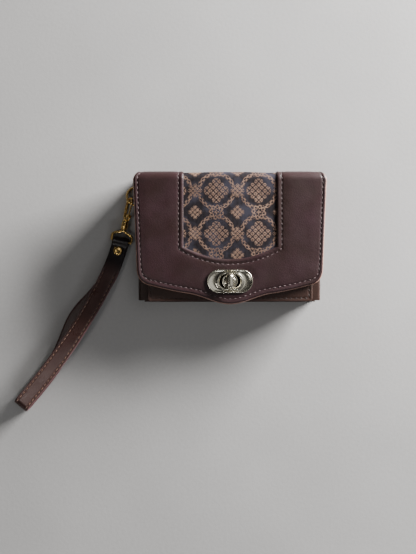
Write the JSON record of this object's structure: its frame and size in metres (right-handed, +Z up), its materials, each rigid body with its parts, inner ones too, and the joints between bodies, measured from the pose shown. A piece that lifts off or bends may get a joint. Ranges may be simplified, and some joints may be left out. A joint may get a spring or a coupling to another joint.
{
  "type": "wristlet wallet",
  "caption": "Small leather wallet with a fabric-windowed flap over an accordion inside, closed by a turn lock, with a wrist strap on a swivel snap hook.",
  "frame": {"origin": "centre of the width on the back panel's resting face, which lies on the table", "axes": "+X to the wallet's right seen from the front, +Y towards the spine, +Z up out of the flap"},
  "size_m": [0.2172, 0.1671, 0.0323],
  "materials": {
    "leather": "dark aubergine brown leather, fine grain, semi-gloss",
    "lining": "dark brown twill lining, matt",
    "zip_tape": "dark brown herringbone tape, matt",
    "brocade": "charcoal brocade with beige woven rings and flowers",
    "board": "bonded leather board, matt",
    "gold": "bright gold plating",
    "nickel": "polished pale nickel plating"
  },
  "bodies": {
    "body": {"back_panel": "leather", "back_fold": "leather", "back_lining": "lining", "card_pocket_1": "leather", "card_pocket_2": "leather", "card_pocket_3": "leather", "left_gusset": "leather", "right_gusset": "leather", "bottom_panel": "leather", "coin_pouch_rear": "lining", "coin_pouch_front": "lining", "coin_pouch_base": "lining", "zip_tapes": "zip_tape", "zip_teeth": "gold", "zip_stops": "gold", "zip_end_tabs": "leather", "front_lining": "lining", "front_panel": "leather", "lock_base": "nickel", "lock_base_washer": "nickel", "side_tab": "leather"},
    "spine": {"spine_panel": "leather", "spine_fabric": "brocade", "spine_lining": "lining", "top_fold": "leather"},
    "flap": {"flap_leather": "leather", "flap_fabric": "brocade", "flap_board": "board", "flap_lining": "lining", "lock_plate": "nickel", "lock_plate_washer": "nickel"},
    "knob": {"lock_knob": "nickel", "lock_circlip": "nickel", "lock_spring": "nickel"},
    "slider": {"zip_slider": "gold"},
    "pull": {"zip_pull": "gold"},
    "ring": {"d_ring": "gold"},
    "hook": {"snap_hook": "gold", "gate_pin": "gold", "gate_spring": "nickel"},
    "gate": {"hook_gate": "gold"},
    "swivel": {"swivel_eye": "gold"},
    "strap": {"strap_loop": "leather", "rivet_cap": "gold", "rivet_back": "gold"}
  },
  "joints": [
    {"name": "spine_hinge", "type": "hinge", "parent": "body", "child": "spine", "pos_m": [0, 0.04443, 0.00107], "axis": [-1, 0, 0], "range_deg": [0, 90], "deforming": ["back_fold"]},
    {"name": "flap_hinge", "type": "hinge", "parent": "spine", "child": "flap", "pos_m": [0, 0.04339, 0.02489], "axis": [-1, 0, 0], "range_deg": [0, 90], "deforming": ["top_fold"]},
    {"name": "knob_turn", "type": "hinge", "parent": "body", "child": "knob", "pos_m": [0, -0.0291, 0.028], "axis": [0, 0, 1], "range_deg": [0, 90]},
    {"name": "zip_slide", "type": "slide", "parent": "body", "child": "slider", "axis": [-1, 0, 0], "range_m": [0, 0.068]},
    {"name": "pull_swing", "type": "hinge", "parent": "slider", "child": "pull", "pos_m": [0.034, 0.0272, 0.0129], "axis": [0, 0, -1], "range_deg": [0, 180]},
    {"name": "ring_swing", "type": "hinge", "parent": "body", "child": "ring", "pos_m": [-0.0658, 0.0306, 0.0046], "axis": [0, -1, 0], "range_deg": [-60, 60]},
    {"name": "hook_swing", "type": "hinge", "parent": "ring", "child": "hook", "pos_m": [-0.07018, 0.02622, 0.0046], "axis": [-0.7071, 0.7071, 0], "range_deg": [-20, 15]},
    {"name": "gate_open", "type": "hinge", "parent": "hook", "child": "gate", "pos_m": [-0.07051, 0.01625, 0.00745], "axis": [-0.8186, 0.1823, 0.5446], "range_deg": [0, 17], "stiffness_Nm_per_rad": 0.002, "springref_deg": -11.46},
    {"name": "swivel_spin", "type": "hinge", "parent": "hook", "child": "swivel", "pos_m": [-0.07431, 0.00767, 0.0046], "axis": [-0.2174, -0.9761, 0], "continuous": true},
    {"name": "strap_swing", "type": "hinge", "parent": "swivel", "child": "strap", "pos_m": [-0.0762, -0.0008, 0.0046], "axis": [-0.9761, 0.2174, 0], "range_deg": [-60, 60]}
  ]
}
